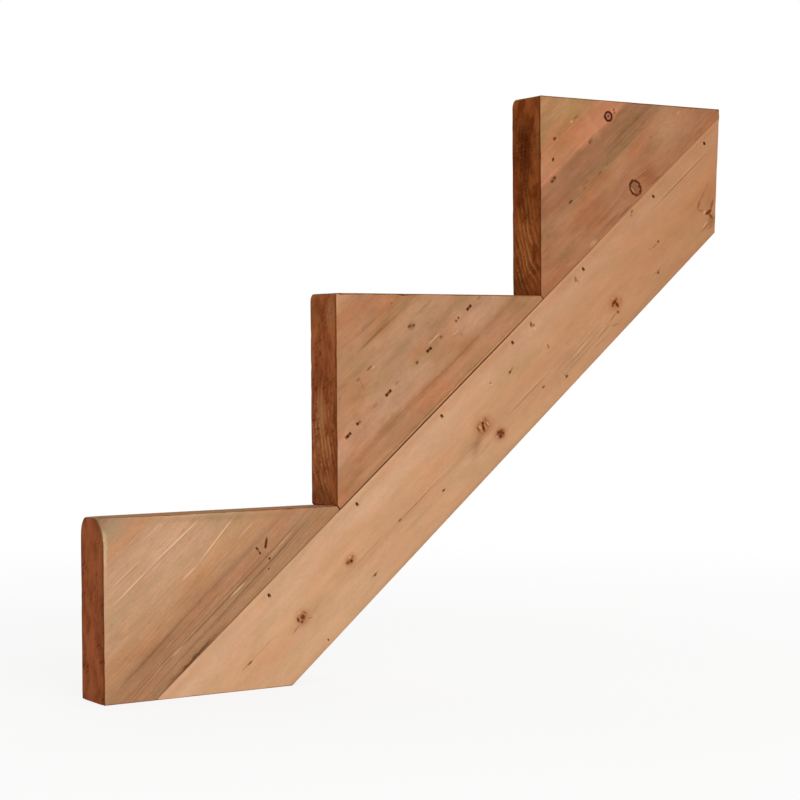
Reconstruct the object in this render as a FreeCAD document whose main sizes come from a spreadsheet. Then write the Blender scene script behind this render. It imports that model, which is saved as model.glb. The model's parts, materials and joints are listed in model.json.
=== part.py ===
import FreeCAD, Part
import os

import Sketcher

# A three-step stair stringer of treated softwood. Three step blocks stand in a row on the edge of a straight plank,
# glued along one seam and held by slanted nails. Lengths are in millimetres, angles in degrees.
#
# Row frame: the origin is the middle of the floor cut, +X runs up the stair, +Y goes from the near face to the far
# face, and +Z is up. Every piece is drawn in a board frame that lies on the seam: x along the grain, y through the
# thickness and z away from the plank. One placement, turned by the pitch, sets them all into the row frame.

# Driving sizes: alias, value, what it measures
SIZES = [
    ("rise", "188", "height from one tread seat to the next"),
    ("run", "225", "depth of one tread seat"),
    ("tread_allowance", "33", "cut off the first rise, for the thickness of the treads"),
    ("end_trim", "2", "how far the upper end cut stands short of a full run"),
    ("end_lean", "3", "lean of the upper end cut, out of plumb"),
    ("thickness", "45", "thickness of all the boards"),
    ("plank_width", "85", "width of the plank under the blocks"),
    ("plank_ease", "2", "rounding of the plank's two lower edges"),
    ("heel", "4.5", "depth of a block under its notch, down to the seam"),
    ("nose_trim", "0.6", "blunting of a block's tip by the edge of its board"),
    ("lower_round", "12", "rounding of the lower block's outer board edges"),
    ("middle_ease", "4.5", "rounding of the middle block's far board edge"),
    ("upper_ease", "6", "rounding of the upper block's far board edge"),
    ("nail_below_seam", "8.5", "where a nail enters the near face, below the seam"),
    ("nail_slant", "52", "slant of a nail, away from square to the face"),
    ("nail_length", "30", "length of a nail with its head and point"),
    ("nail_shank", "2.2", "diameter of a nail's shank"),
    ("nail_head", "2.8", "diameter of a nail's head"),
    ("nail_head_height", "1.2", "height of a nail's head"),
    ("nail_point", "4", "length of a nail's point"),
    ("nail_tip", "0.6", "diameter of the blunt end of a nail's point"),
    ("nail_sunk", "3", "depth of a nail's head under the face"),
    ("nail_clearance", "0.05", "play round a nail and past its point"),
    ("lower_nail_a", "101", "lower block's nail, back from the first notch"),
    ("middle_nail_a", "16", "middle block's first nail, on from the first notch"),
    ("middle_nail_b", "135", "middle block's second nail, on from the first notch"),
    ("middle_nail_c", "54", "middle block's third nail, back from the second notch"),
    ("upper_nail_a", "55", "upper block's first nail, on from the second notch"),
    ("upper_nail_b", "168", "upper block's second nail, on from the second notch"),
    ("upper_nail_c", "38", "upper block's third nail, back from the upper end"),
]

# Places worked out from the driving sizes. Along is measured up the seam from the floor, across away from the seam.
LAYOUT = [
    ("pitch", "atan(sizes.rise / sizes.run)"),
    ("end_angle", "pitch + sizes.end_lean * 1 deg"),
    ("first_rise", "sizes.rise - sizes.tread_allowance"),
    ("step_length", "sqrt(sizes.rise ^ 2 + sizes.run ^ 2)"),
    ("toe_to_seam", "sizes.run - first_rise / tan(pitch) + sizes.heel / sin(pitch)"),
    ("foot_length", "toe_to_seam + sizes.plank_width / sin(pitch)"),
    ("toe_along", "-toe_to_seam * cos(pitch)"),
    ("toe_across", "toe_to_seam * sin(pitch)"),
    ("tip_across", "sizes.heel + sizes.run * sin(pitch)"),
    ("block_width", "tip_across - sizes.nose_trim"),
    ("lower_tip", "toe_along + first_rise * sin(pitch)"),
    ("first_notch", "lower_tip + sizes.run * cos(pitch)"),
    ("middle_tip", "first_notch + sizes.rise * sin(pitch)"),
    ("second_notch", "first_notch + step_length"),
    ("upper_tip", "second_notch + sizes.rise * sin(pitch)"),
    ("end_corner", "upper_tip + (sizes.run - sizes.end_trim) * cos(pitch)"),
    ("end_across", "sizes.heel + sizes.end_trim * sin(pitch)"),
    ("seam_end", "end_corner - end_across * tan(end_angle)"),
    ("under_end", "seam_end - sizes.plank_width * tan(end_angle)"),
    ("under_floor", "sizes.plank_width / tan(pitch)"),
    ("drill_lead", "sizes.nail_head * tan(sizes.nail_slant * 1 deg)"),
    ("head_seat", "drill_lead + sizes.nail_sunk + sizes.nail_head_height + sizes.nail_clearance"),
    ("hole_depth", "drill_lead + sizes.nail_sunk + sizes.nail_length + sizes.nail_clearance"),
    ("head_hole", "sizes.nail_head + 2 * sizes.nail_clearance"),
    ("shank_hole", "sizes.nail_shank + 2 * sizes.nail_clearance"),
    ("shank_length", "sizes.nail_length - sizes.nail_point"),
    ("point_taper", "atan((sizes.nail_shank - sizes.nail_tip) / (2 * sizes.nail_point))"),
]

# Where each block's nails stand along the seam
LOWER_NAILS = ["layout.first_notch - sizes.lower_nail_a"]
MIDDLE_NAILS = [
    "layout.first_notch + sizes.middle_nail_a",
    "layout.first_notch + sizes.middle_nail_b",
    "layout.second_notch - sizes.middle_nail_c",
]
UPPER_NAILS = [
    "layout.second_notch + sizes.upper_nail_a",
    "layout.second_notch + sizes.upper_nail_b",
    "layout.end_corner - sizes.upper_nail_c",
]
ALL_NAILS = LOWER_NAILS + MIDDLE_NAILS + UPPER_NAILS

NEAR = -1
FAR = 1
SAME_PLACE = 1e-4

doc = FreeCAD.newDocument("stair_stringer")


def fill_sheet(name, rows, formula=False):
    """Write one row per value into a new sheet: alias, value, note."""
    sheet = doc.addObject("Spreadsheet::Sheet", name)
    for number, row in enumerate(rows, start=1):
        alias, value = row[0], row[1]
        sheet.set(f"A{number}", alias)
        sheet.setAlias(f"B{number}", alias)
        sheet.set(f"B{number}", "=" + value if formula else value)
        if len(row) > 2:
            sheet.set(f"C{number}", row[2])
    doc.recompute()
    return sheet


def new_body(label):
    """Start a piece in the board frame, which the placement lays on the seam."""
    body = doc.addObject("PartDesign::Body", label)
    body.Label = label
    body.Placement = FreeCAD.Placement(FreeCAD.Vector(), FreeCAD.Rotation(FreeCAD.Vector(0, -1, 0), 1))
    body.setExpression("Placement.Rotation.Angle", "layout.pitch")
    body.setExpression("Placement.Base.x", "layout.toe_to_seam - layout.foot_length / 2")
    return body


def side_sketch(body, name):
    """Start a sketch on the body's side plane, x along the seam and y across it."""
    sketch = body.newObject("Sketcher::SketchObject", name)
    plane = next(item for item in body.Origin.OriginFeatures if item.Role == "XZ_Plane")
    sketch.AttachmentSupport = [(plane, "")]
    sketch.MapMode = "FlatFace"
    return sketch


def place_point(sketch, geometry, point, along, across):
    """Tie one point of a sketch to two expressions."""
    for kind, expression in (("DistanceX", along), ("DistanceY", across)):
        value = float(sketch.evalExpression(expression))
        index = sketch.addConstraint(Sketcher.Constraint(kind, -1, 1, geometry, point, value))
        sketch.setExpression(f"Constraints[{index}]", expression)


def outline(body, name, corners):
    """Draw a closed outline of straight lines through corners given as pairs of expressions."""
    sketch = side_sketch(body, name)
    points = []
    for along, across in corners:
        points.append(FreeCAD.Vector(float(sketch.evalExpression(along)), float(sketch.evalExpression(across)), 0))
    count = len(points)
    for index in range(count):
        sketch.addGeometry(Part.LineSegment(points[index], points[(index + 1) % count]))
    for index in range(count):
        sketch.addConstraint(Sketcher.Constraint("Coincident", index, 2, (index + 1) % count, 1))
    for index, (along, across) in enumerate(corners):
        place_point(sketch, index, 1, along, across)
    return sketch


def board(body, start, end, low, high):
    """Pad a straight board, centred on its thickness."""
    profile = outline(body, "board_outline", [(start, low), (end, low), (end, high), (start, high)])
    pad = body.newObject("PartDesign::Pad", "board")
    pad.Profile = profile
    pad.SideType = "Symmetric"
    pad.setExpression("Length", "sizes.thickness")
    doc.recompute()
    return pad


def ease_edges(body, base, across, sides, radius):
    """Round the board's long edges at one height across the seam, on the given faces."""
    height = float(base.evalExpression(across))
    half = float(base.evalExpression("sizes.thickness")) / 2
    names = []
    for number, edge in enumerate(base.Shape.Edges, start=1):
        ends = [vertex.Point for vertex in edge.Vertexes]
        for side in sides:
            if all(abs(end.z - height) < SAME_PLACE and abs(end.y - side * half) < SAME_PLACE for end in ends):
                names.append(f"Edge{number}")
    fillet = body.newObject("PartDesign::Fillet", "eased_edges")
    fillet.Base = (base, names)
    fillet.setExpression("Radius", radius)
    doc.recompute()
    return fillet


def saw(body, name, corners):
    """Cut away the waste inside an outline, right through the thickness."""
    before = body.Shape.Volume
    profile = outline(body, name + "_outline", corners)
    cut = body.newObject("PartDesign::Pocket", name)
    cut.Profile = profile
    cut.SideType = "Symmetric"
    cut.setExpression("Length", "2 * sizes.thickness")
    doc.recompute()
    if body.Shape.Volume >= before:
        raise RuntimeError(f"{body.Label}: {name} cuts nothing")
    return cut


def nail_sketch(body, name, depth, diameter, places):
    """Draw one circle per nail on a plane square to the nails, at a depth along them from the near face."""
    sketch = side_sketch(body, name)
    sketch.AttachmentOffset = FreeCAD.Placement(FreeCAD.Vector(), FreeCAD.Rotation(FreeCAD.Vector(1, 0, 0), 1))
    slant = "sizes.nail_slant * 1 deg"
    sketch.setExpression("AttachmentOffset.Rotation.Angle", slant)
    sketch.setExpression("AttachmentOffset.Base.y", f"-sizes.nail_below_seam + ({depth}) * sin({slant})")
    sketch.setExpression("AttachmentOffset.Base.z", f"sizes.thickness / 2 - ({depth}) * cos({slant})")
    for index, place in enumerate(places):
        centre = FreeCAD.Vector(float(sketch.evalExpression(place)), 0, 0)
        size = float(sketch.evalExpression(diameter))
        sketch.addGeometry(Part.Circle(centre, FreeCAD.Vector(0, 0, 1), size / 2))
        place_point(sketch, index, 3, place, "0")
        row = sketch.addConstraint(Sketcher.Constraint("Diameter", index, size))
        sketch.setExpression(f"Constraints[{row}]", diameter)
    return sketch


def drill(body, name, diameter, depth, places):
    """Sink the nails' holes from just outside the near face."""
    before = body.Shape.Volume
    hole = body.newObject("PartDesign::Pocket", name)
    hole.Profile = nail_sketch(body, name + "_places", "-layout.drill_lead", diameter, places)
    hole.setExpression("Length", depth)
    doc.recompute()
    if body.Shape.Volume >= before:
        raise RuntimeError(f"{body.Label}: {name} cuts nothing")
    return hole


def nail_pad(body, name, depth, diameter, length, taper=None):
    """Pad one stretch of every nail, from a depth along the nail into the wood."""
    pad = body.newObject("PartDesign::Pad", name)
    pad.Profile = nail_sketch(body, name + "_places", depth, diameter, ALL_NAILS)
    pad.Reversed = True
    pad.setExpression("Length", length)
    if taper:
        pad.setExpression("TaperAngle", taper)
    doc.recompute()
    return pad


def carriage_plank():
    """The straight plank: eased lower edges, level floor cut, end cut, and the nails' holes through its near face."""
    body = new_body("carriage_plank")
    blank = board(body, "0", "layout.seam_end", "-sizes.plank_width", "0")
    ease_edges(body, blank, "-sizes.plank_width", [NEAR, FAR], "sizes.plank_ease")
    saw(body, "floor_cut", [
        ("0", "0"),
        ("layout.under_floor", "-sizes.plank_width"),
        ("0", "-sizes.plank_width"),
    ])
    saw(body, "end_cut", [
        ("layout.seam_end", "0"),
        ("layout.under_end", "-sizes.plank_width"),
        ("layout.seam_end", "-sizes.plank_width"),
    ])
    drill(body, "head_holes", "layout.head_hole", "layout.head_seat", ALL_NAILS)
    drill(body, "shank_holes", "layout.shank_hole", "layout.hole_depth", ALL_NAILS)
    return body


def lower_step_block():
    """The first step: its riser stands on the floor cut, and its board edge is rounded on both faces."""
    body = new_body("lower_step_block")
    blank = board(body, "layout.toe_along", "layout.first_notch", "0", "layout.block_width")
    ease_edges(body, blank, "layout.block_width", [NEAR, FAR], "sizes.lower_round")
    saw(body, "floor_cut", [
        ("0", "0"),
        ("layout.toe_along", "layout.toe_across"),
        ("layout.toe_along", "0"),
    ])
    saw(body, "riser_cut", [
        ("layout.toe_along", "layout.toe_across"),
        ("layout.lower_tip", "layout.tip_across"),
        ("layout.toe_along", "layout.tip_across"),
    ])
    saw(body, "tread_cut", [
        ("layout.lower_tip", "layout.tip_across"),
        ("layout.first_notch", "sizes.heel"),
        ("layout.first_notch", "layout.tip_across"),
    ])
    drill(body, "shank_holes", "layout.shank_hole", "layout.hole_depth", LOWER_NAILS)
    return body


def middle_step_block():
    """The second step: a triangle between the two notches, on a short heel."""
    body = new_body("middle_step_block")
    blank = board(body, "layout.first_notch", "layout.second_notch", "0", "layout.block_width")
    ease_edges(body, blank, "layout.block_width", [FAR], "sizes.middle_ease")
    saw(body, "riser_cut", [
        ("layout.first_notch", "sizes.heel"),
        ("layout.middle_tip", "layout.tip_across"),
        ("layout.first_notch", "layout.tip_across"),
    ])
    saw(body, "tread_cut", [
        ("layout.middle_tip", "layout.tip_across"),
        ("layout.second_notch", "sizes.heel"),
        ("layout.second_notch", "layout.tip_across"),
    ])
    drill(body, "shank_holes", "layout.shank_hole", "layout.hole_depth", MIDDLE_NAILS)
    return body


def upper_step_block():
    """The third step: its tread runs out to the end cut that it shares with the plank."""
    body = new_body("upper_step_block")
    blank = board(body, "layout.second_notch", "layout.end_corner", "0", "layout.block_width")
    ease_edges(body, blank, "layout.block_width", [FAR], "sizes.upper_ease")
    saw(body, "riser_cut", [
        ("layout.second_notch", "sizes.heel"),
        ("layout.upper_tip", "layout.tip_across"),
        ("layout.second_notch", "layout.tip_across"),
    ])
    saw(body, "tread_cut", [
        ("layout.upper_tip", "layout.tip_across"),
        ("layout.end_corner", "layout.end_across"),
        ("layout.end_corner", "layout.tip_across"),
    ])
    saw(body, "end_cut", [
        ("layout.end_corner", "layout.end_across"),
        ("layout.seam_end", "0"),
        ("layout.end_corner", "0"),
    ])
    drill(body, "shank_holes", "layout.shank_hole", "layout.hole_depth", UPPER_NAILS)
    return body


def toe_nails():
    """The slanted nails, sunk into the plank's near face and driven across the seam into the blocks."""
    body = new_body("toe_nails")
    top = "sizes.nail_sunk"
    nail_pad(body, "heads", top, "sizes.nail_head", "sizes.nail_head_height")
    nail_pad(body, "shanks", top, "sizes.nail_shank", "layout.shank_length")
    nail_pad(body, "points", f"{top} + layout.shank_length", "sizes.nail_shank", "sizes.nail_point", "-layout.point_taper")
    return body


def check(pieces):
    """Stop if any object failed to build or a piece has no valid shape."""
    for item in doc.Objects:
        if "Invalid" in item.State or "Error" in item.State:
            raise RuntimeError(f"{item.Label} failed: {item.State}")
    for piece in pieces:
        if piece.Shape.isNull() or not piece.Shape.isValid():
            raise RuntimeError(f"{piece.Label} has no valid shape")


fill_sheet("sizes", SIZES)
fill_sheet("layout", LAYOUT, formula=True)
pieces = [carriage_plank(), lower_step_block(), middle_step_block(), upper_step_block(), toe_nails()]
doc.recompute()
check(pieces)

os.makedirs("parts", exist_ok=True)
for piece in pieces:
    box = piece.Shape.optimalBoundingBox()
    print(f"{piece.Label}: {len(piece.Shape.Solids)} solids, {piece.Shape.Volume:.0f} mm3, "
          f"x {box.XMin:.2f} to {box.XMax:.2f}, y {box.YMin:.2f} to {box.YMax:.2f}, z {box.ZMin:.2f} to {box.ZMax:.2f}")
    piece.Shape.exportStep(f"parts/{piece.Label}.step")
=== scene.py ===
"""A stair stringer of brown treated softwood: worn board edges, wood finishes, studio and camera."""

import json
import logging
import math
from collections.abc import Iterable, Iterator
from dataclasses import dataclass, field
from enum import Enum
from functools import partial
from typing import Any

import bmesh
import bpy
from mathutils import Matrix, Vector, kdtree, noise


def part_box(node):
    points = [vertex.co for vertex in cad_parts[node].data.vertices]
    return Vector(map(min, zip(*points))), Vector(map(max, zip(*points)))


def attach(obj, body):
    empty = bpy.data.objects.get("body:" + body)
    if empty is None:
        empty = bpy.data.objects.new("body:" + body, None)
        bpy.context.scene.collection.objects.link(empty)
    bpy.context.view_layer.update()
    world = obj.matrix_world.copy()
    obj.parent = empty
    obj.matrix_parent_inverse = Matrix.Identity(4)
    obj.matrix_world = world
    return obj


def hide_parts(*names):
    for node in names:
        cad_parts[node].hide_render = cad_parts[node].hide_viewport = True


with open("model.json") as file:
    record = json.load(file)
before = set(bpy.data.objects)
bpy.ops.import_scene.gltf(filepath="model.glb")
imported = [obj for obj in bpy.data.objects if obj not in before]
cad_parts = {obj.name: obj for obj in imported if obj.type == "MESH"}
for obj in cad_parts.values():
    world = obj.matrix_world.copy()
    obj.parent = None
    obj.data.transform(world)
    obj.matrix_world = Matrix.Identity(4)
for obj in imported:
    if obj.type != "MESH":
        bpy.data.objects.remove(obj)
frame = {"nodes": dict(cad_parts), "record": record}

LOG = logging.getLogger("stair_stringer")
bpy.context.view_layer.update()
MM = 0.001
ROOT = "root"
ARRIS = "arris"
WHITE = "#FFFFFF"

Colour = tuple[float, float, float, float]
Socket = bpy.types.NodeSocket


def hex_to_linear(code: str) -> Colour:
    """Turn an sRGB hex colour into linear light.

    Args:
        code: Colour such as "#D0A27B".

    Returns:
        Red, green, blue and an alpha of one.
    """
    parts = [int(code[i:i + 2], 16) / 255 for i in (1, 3, 5)]
    red, green, blue = [c / 12.92 if c <= 0.04045 else ((c + 0.055) / 1.055) ** 2.4 for c in parts]
    return red, green, blue, 1.0


def add_node(tree: bpy.types.NodeTree, kind: str, inputs: dict[str | int, Any], output: int = 0,
             **settings: Any) -> Socket | None:
    """Add one node, set its options and feed its inputs.

    Args:
        tree: Node tree that gets the node.
        kind: Blender's name of the node type, without the ShaderNode that starts it.
        inputs: Input name or number to a plain value or to the socket that feeds it.
        output: Number of the output that is wanted.
        **settings: Options of the node.

    Returns:
        The wanted output socket, or None for a node that ends the tree.
    """
    node = tree.nodes.new(f"ShaderNode{kind}")
    for name, value in settings.items():
        setattr(node, name, value)
    for key, value in inputs.items():
        if isinstance(value, Socket):
            tree.links.new(value, node.inputs[key])
        else:
            node.inputs[key].default_value = value
    return node.outputs[output] if node.outputs else None


def set_stops(ramp_output: Socket, stops: list[tuple[float, Colour]]) -> Socket:
    """Give a colour ramp its stops.

    Args:
        ramp_output: Colour output of the ramp node.
        stops: Position from 0 to 1 and colour of each stop, in order.

    Returns:
        The same output.
    """
    elements = ramp_output.node.color_ramp.elements
    while len(elements) < len(stops):
        elements.new(1.0)
    for element, (place, colour) in zip(elements, stops):
        element.position = place
        element.color = colour
    return ramp_output


def new_material(name: str) -> bpy.types.Material:
    """Make a material with an empty node tree.

    Args:
        name: Its name.

    Returns:
        The material.
    """
    material = bpy.data.materials.new(name)
    material.use_nodes = True
    material.node_tree.nodes.clear()
    return material


@dataclass(frozen=True)
class SeamFrame:
    """The boards' own frame in millimetres: along the grain from the floor, through, across from the seam."""

    pitch: float
    foot: Vector
    near: float
    risers: tuple[float, ...]

    @classmethod
    def from_model(cls) -> "SeamFrame":
        """Read the pitch and the risers from the mounts, and the foot of the seam from the plank.

        Returns:
            The boards' frame.
        """
        places = {mount["name"]: Vector(mount["pos_m"]) for mount in frame["record"]["mounts"]}
        risers = tuple(places[f"{step}_riser_face"].x for step in ("lower", "middle", "upper"))
        rise = places["middle_tread_seat"].z - places["lower_tread_seat"].z
        low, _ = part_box("carriage_plank")
        return cls(math.atan2(rise, risers[1] - risers[0]), Vector((low.x, 0.0, 0.0)), low.y / MM, risers)

    @property
    def grain(self) -> Vector:
        """Direction of the grain in the row frame."""
        return Vector((math.cos(self.pitch), 0.0, math.sin(self.pitch)))

    def to_board(self, point: Vector) -> Vector:
        """Give a point of the row frame as millimetres along, through and across the boards."""
        return Matrix.Rotation(self.pitch, 3, "Y") @ (point - self.foot) / MM


SEAM = SeamFrame.from_model()
# Where the seam stands open at the middle block, and where the nails go in, in millimetres along the boards.
OPEN_SEAM = (236.0, 530.0)
NAIL_PLACES = (135.4, 252.4, 371.4, 475.6, 584.6, 697.6, 783.3)


class Surface(Enum):
    """Which of a board's surfaces a spot lies on."""

    PLANED = "planed"
    SAWN = "sawn"


class Outline(Enum):
    """Whether a spot is an oval torn by the grain, a smooth oval or a small block."""

    TORN = "torn"
    SMOOTH = "smooth"
    BLOCK = "block"


@dataclass(frozen=True)
class Spot:
    """A soft-edged oval of another colour, in millimetres along and across the board.

    Its depth is how far it reaches through the board from the near face, or from its own inward place.
    """

    along: float
    across: float
    half_length: float
    half_width: float
    colour: str
    strength: float = 1.0
    angle: float = 0.0
    softness: float = 0.6
    depth: float = 7.0
    inward: float = SEAM.near
    surface: Surface = Surface.PLANED
    outline: Outline = Outline.TORN


def riser_spot(step: int, inward: float, height: float, half_wide: float, half_tall: float, colour: str,
               strength: float) -> Spot:
    """Describe a blot on a sawn riser, from its step, place inward, height and half sizes in millimetres."""
    place = SEAM.to_board(Vector((SEAM.risers[step], 0.0, height * MM)))
    return Spot(place.x, place.z, half_tall, half_tall, colour, strength, softness=0.9, depth=half_wide,
                inward=inward, surface=Surface.SAWN)


def dash(along: float, across: float, half_length: float = 1.3, colour: str = "#4A2408",
         strength: float = 1.0) -> Spot:
    """Describe a short dark nick that a planer knife left across the fibres, as a small block."""
    return Spot(along, across, half_length + 0.3, 1.8, colour, strength, softness=0.6, outline=Outline.BLOCK)


def stroke(along: float, across: float, half_length: float, half_width: float, colour: str,
           strength: float = 0.9, angle: float = 0.0) -> Spot:
    """Describe a thin smooth mark, such as a crack, a bark line or a streak of pale resin."""
    return Spot(along, across, half_length, half_width, colour, strength, angle, 0.65, outline=Outline.SMOOTH)


@dataclass(frozen=True)
class Knot:
    """A branch that the board was sawn through: body, bark ring, red halo and grain that flows round it."""

    along: float
    across: float
    half_length: float
    half_width: float
    body: str
    ring: str
    opacity: float = 0.7
    ring_strength: float = 0.8
    ring_width: float = 0.25
    halo: float = 0.55
    ragged: float = 0.6
    heart: float = 0.0


@dataclass(frozen=True)
class Softwood:
    """Planed softwood under brown preservative.

    The boards are flat-sawn, so soft bands of tone and fine lines run along the faces, and the sawn cuts show
    ring arcs. Planing leaves the faces matt. The open ends of the fibres at the cuts drink more brown and are
    rougher.
    """

    name: str
    bands: tuple[tuple[float, str], ...]
    seam_shade: tuple[tuple[float, float], ...]
    pith: tuple[float, float, float]
    ring_width: float = 6.0
    line_contrast: float = 0.1
    line_spots: tuple[Spot, ...] = ()
    slope: float = 0.0
    far_shade: str = WHITE
    far_span: tuple[float, float] = (0.0, 1.0)
    band_warp: float = 3.0
    sawn_light: str = "#9A5530"
    sawn_dark: str = "#7C3F1F"
    sawn_stroke: str = "#B0774A"
    sawn_rings: float = 0.1
    ring_spots: tuple[Spot, ...] = ()
    tread: str = "#AE845C"
    fibre: float = 0.5
    blotch: float = 1.0
    flecks: float = 0.3
    seed: float = 0.0
    spots: tuple[Spot, ...] = ()
    knots: tuple[Knot, ...] = ()
    roughness: float = 0.7


class SoftwoodMaterial:
    """Builds the nodes of one board's wood."""

    # Places and sizes are in millimetres of the board. The first two spans are shares of the surface's normal.
    SAWN_SPAN = (0.42, 0.6)
    TREAD_SPAN = (0.75, 0.95)
    BORDER_SPAN = (19.5, 22.5)
    BAND_SPAN = (-90.0, 155.0)
    SEAM_SPAN = (-40.0, 830.0)
    SEAM_HALF = 1.1
    WAVE_SIZE = (210.0, 80.0, 60.0)
    WAVE_HEIGHT = 9.0
    TEAR_SIZE = (12.0 * MM, 11.0 * MM, 1.5 * MM)
    TEAR_SLANT = math.radians(-24.0)
    KNOT_DEPTH = 60.0
    KNOT_STRETCH = 2.4
    SEED_STEP = 37.0
    SEED_SHARES = (1.0, 0.31, 0.57)
    CUT_ROUGHNESS = 0.92
    SHEEN_SWING = 0.08
    SEAM_COLOUR = "#4A1A02"
    HALO_COLOUR = "#A8663F"
    HEART_COLOUR = "#481F08"
    TEAR_COLOUR = "#582408"
    BORDER_COLOUR = "#4A2208"
    LAYER_COLOUR = "#704C2B"
    LINE_TINT = "#ACA69B"
    # Darkens the worn bevels along the edges: partly stain soaked into them, partly painted shade for the thin
    # dark line along each edge.
    ARRIS_STAIN_AND_SHADE = "#D2BEA8"

    def __init__(self, finish: Softwood) -> None:
        """Start the material and its board coordinates.

        Args:
            finish: What the board looks like.
        """
        self.finish = finish
        self.material = new_material(finish.name)
        self.add = partial(add_node, self.material.node_tree)
        self.place = self.add("TexCoord", {}, output=3)
        self.point = self.add("Mapping", {
            "Vector": self.place, "Location": SEAM.foot, "Rotation": (0.0, -SEAM.pitch, 0.0),
            "Scale": (MM, MM, MM),
        }, vector_type="TEXTURE")
        self.along = self.add("SeparateXYZ", {0: self.point})
        self.through, self.across = self.along.node.outputs[1], self.along.node.outputs[2]
        self.flow = self.point
        ragged = self.grain_noise((7.0, 7.0, 2.5), detail=3.0, seed=3.0, output=1)
        self.ragged_point = self.shifted(self.point, ragged, (2.0, 0.0, 1.4))
        patches = self.grain_noise((5.0, 5.0, 1.6), detail=3.0, seed=19.0)
        self.patchy = self.add("MapRange", {0: patches, 1: 0.36, 2: 0.56, 3: 0.6, 4: 1.0})
        self.normal = self.add("NewGeometry", {}, output=3)
        self.flow = self.flow_round_knots()

    def grain_noise(self, lengths: tuple[float, float, float], detail: float = 2.0, seed: float = 0.0,
                    output: int = 0, roughness: float = 0.5, point: Socket | None = None) -> Socket:
        """Noise drawn out along the grain.

        Args:
            lengths: Size of one swell in millimetres along, through and across the board.
            detail: Number of finer layers.
            seed: Shifts the noise so that patterns differ.
            output: 0 for a value, 1 for a colour.
            roughness: Weight of the finer layers.
            point: Where the noise is read, the flow of the grain if it is not given.

        Returns:
            The noise socket, about 0.5 on average.
        """
        shift = self.SEED_STEP * (seed + self.finish.seed)
        scaled = self.add("VectorMath", {
            0: point or self.flow, 1: [1.0 / length for length in lengths],
            2: [share * shift for share in self.SEED_SHARES],
        }, operation="MULTIPLY_ADD")
        return self.add("TexNoise", {
            "Vector": scaled, "Scale": 1.0, "Detail": detail, "Roughness": roughness,
        }, output=output)

    def shifted(self, point: Socket, swell: Socket, reach: tuple[float, float, float]) -> Socket:
        """Move a point by a noise colour, up to a reach in millimetres each way."""
        moved = self.add("VectorMath", {
            0: swell, 1: [2.0 * r for r in reach], 2: [-r for r in reach],
        }, operation="MULTIPLY_ADD")
        return self.add("VectorMath", {0: point, 1: moved}, operation="ADD")

    def local_to(self, mark: Spot | Knot, depth: float, stretch: float = 1.0) -> Socket:
        """Coordinates in which a spot or a knot is a ball, or a cube, that reaches from -1 to 1.

        Args:
            mark: The spot or knot.
            depth: How far it reaches through the board, in millimetres.
            stretch: How much longer along the grain it is taken.

        Returns:
            The coordinates.
        """
        torn = isinstance(mark, Spot) and mark.outline is Outline.TORN
        inward = mark.inward if isinstance(mark, Spot) else SEAM.near
        turn = -math.radians(mark.angle) if isinstance(mark, Spot) else 0.0
        return self.add("Mapping", {
            "Vector": self.ragged_point if torn else self.point,
            "Location": (mark.along, inward, mark.across),
            "Rotation": (0.0, turn, 0.0),
            "Scale": (mark.half_length * stretch, depth, mark.half_width),
        }, vector_type="TEXTURE")

    def reach_of(self, knot: Knot, stretch: float = 1.0) -> Socket:
        """Distance from the middle of a knot, 1 on its edge."""
        local = self.local_to(knot, self.KNOT_DEPTH, stretch)
        return self.add("VectorMath", {0: local}, output=1, operation="LENGTH")

    def block_reach(self, local: Socket) -> Socket:
        """Largest of the three coordinates, 1 on the sides of a block.

        Args:
            local: Coordinates in which the block reaches from -1 to 1.

        Returns:
            The largest coordinate.
        """
        add = self.add
        sizes = add("VectorMath", {0: local}, operation="ABSOLUTE")
        along = add("SeparateXYZ", {0: sizes})
        through, across = along.node.outputs[1], along.node.outputs[2]
        widest = add("Math", {0: along, 1: across}, operation="MAXIMUM")
        return add("Math", {0: widest, 1: through}, operation="MAXIMUM")

    def fade(self, value: Socket, none: float, full: float, top: float = 1.0) -> Socket:
        """A smooth mask that is 0 where the value is none and top where it is full."""
        return self.add("MapRange", {
            0: value, 1: none, 2: full, 3: 0.0, 4: top,
        }, interpolation_type="SMOOTHSTEP")

    def flow_round_knots(self) -> Socket:
        """Let the grain slope, wave a little and part round each knot.

        Returns:
            Board coordinates in which the grain is straight.
        """
        add = self.add
        wave = self.grain_noise(self.WAVE_SIZE, seed=1.0)
        across = add("Math", {0: wave, 1: self.WAVE_HEIGHT, 2: self.across}, operation="MULTIPLY_ADD")
        across = add("Math", {0: self.along, 1: -self.finish.slope, 2: across}, operation="MULTIPLY_ADD")
        for knot in self.finish.knots:
            lens = self.reach_of(knot, self.KNOT_STRETCH)
            pull = self.fade(lens, 3.0, 0.6, 0.7)
            off = add("Math", {0: self.across, 1: knot.across}, operation="SUBTRACT")
            part = add("Math", {0: off, 1: pull}, operation="MULTIPLY")
            across = add("Math", {0: across, 1: part}, operation="SUBTRACT")
        return add("CombineXYZ", {0: self.along, 1: self.through, 2: across})

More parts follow.
